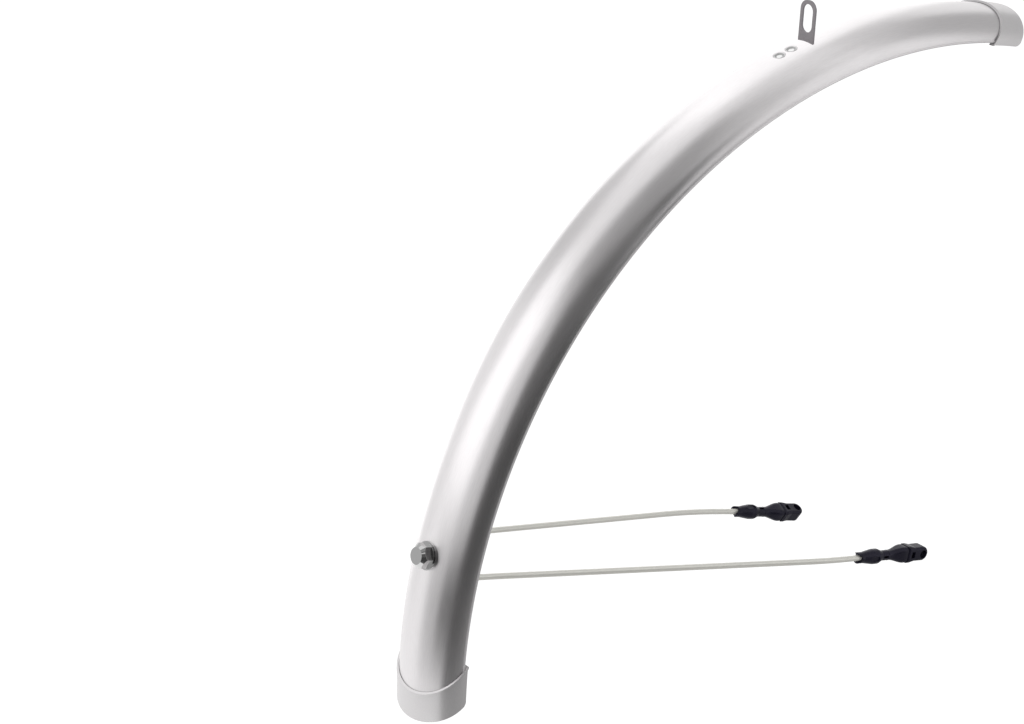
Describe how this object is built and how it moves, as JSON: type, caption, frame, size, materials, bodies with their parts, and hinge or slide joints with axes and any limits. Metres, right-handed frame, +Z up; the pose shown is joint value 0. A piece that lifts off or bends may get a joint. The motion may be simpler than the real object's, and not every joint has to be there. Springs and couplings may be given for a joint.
{
  "type": "bicycle mudguard",
  "caption": "Front bicycle mudguard: curved silver channel with end caps, slotted fork tab and a bent wire stay ending in black release clips.",
  "frame": {"origin": "middle of the fork slot, on the front face of the bracket's tab", "axes": "+X forward along the fork bolt, +Y to the rider's left, +Z up along the tab"},
  "size_m": [0.4479, 0.1269, 0.4017],
  "materials": {
    "silver_blade": "satin silver laminate",
    "silver_cap": "silver moulded plastic",
    "bracket_steel": "dull zinc",
    "rivet_metal": "plain",
    "chrome": "bright chrome",
    "zinc_steel": "dull zinc",
    "stay_steel": "drawn stainless wire",
    "black_plastic": "moulded black nylon"
  },
  "bodies": {
    "guard": {"blade": "silver_blade", "front_cap": "silver_cap", "rear_cap": "silver_cap", "fork_bracket": "bracket_steel", "front_rivet": "rivet_metal", "rear_rivet": "rivet_metal", "stay_bolt": "chrome", "stay_washer": "chrome", "stay_bridge": "zinc_steel", "stay_nut": "zinc_steel", "stay_wire": "stay_steel"},
    "right_clip_body": {"right_sleeve": "black_plastic", "right_clip": "black_plastic"},
    "right_eyelet_block": {"right_eyelet": "black_plastic"},
    "left_clip_body": {"left_sleeve": "black_plastic", "left_clip": "black_plastic"},
    "left_eyelet_block": {"left_eyelet": "black_plastic"}
  },
  "joints": [
    {"name": "right_clip_turn", "type": "hinge", "parent": "guard", "child": "right_clip_body", "pos_m": [0.08311, -0.0578, -0.3497], "axis": [0.986, 0, -0.1668], "continuous": true},
    {"name": "right_release", "type": "slide", "parent": "right_clip_body", "child": "right_eyelet_block", "axis": [0.986, 0, -0.1668], "range_m": [0, 0.012]},
    {"name": "left_clip_turn", "type": "hinge", "parent": "guard", "child": "left_clip_body", "pos_m": [0.08311, 0.0578, -0.3669], "axis": [0.9711, 0, -0.2385], "continuous": true},
    {"name": "left_release", "type": "slide", "parent": "left_clip_body", "child": "left_eyelet_block", "axis": [0.9711, 0, -0.2385], "range_m": [0, 0.012]}
  ]
}
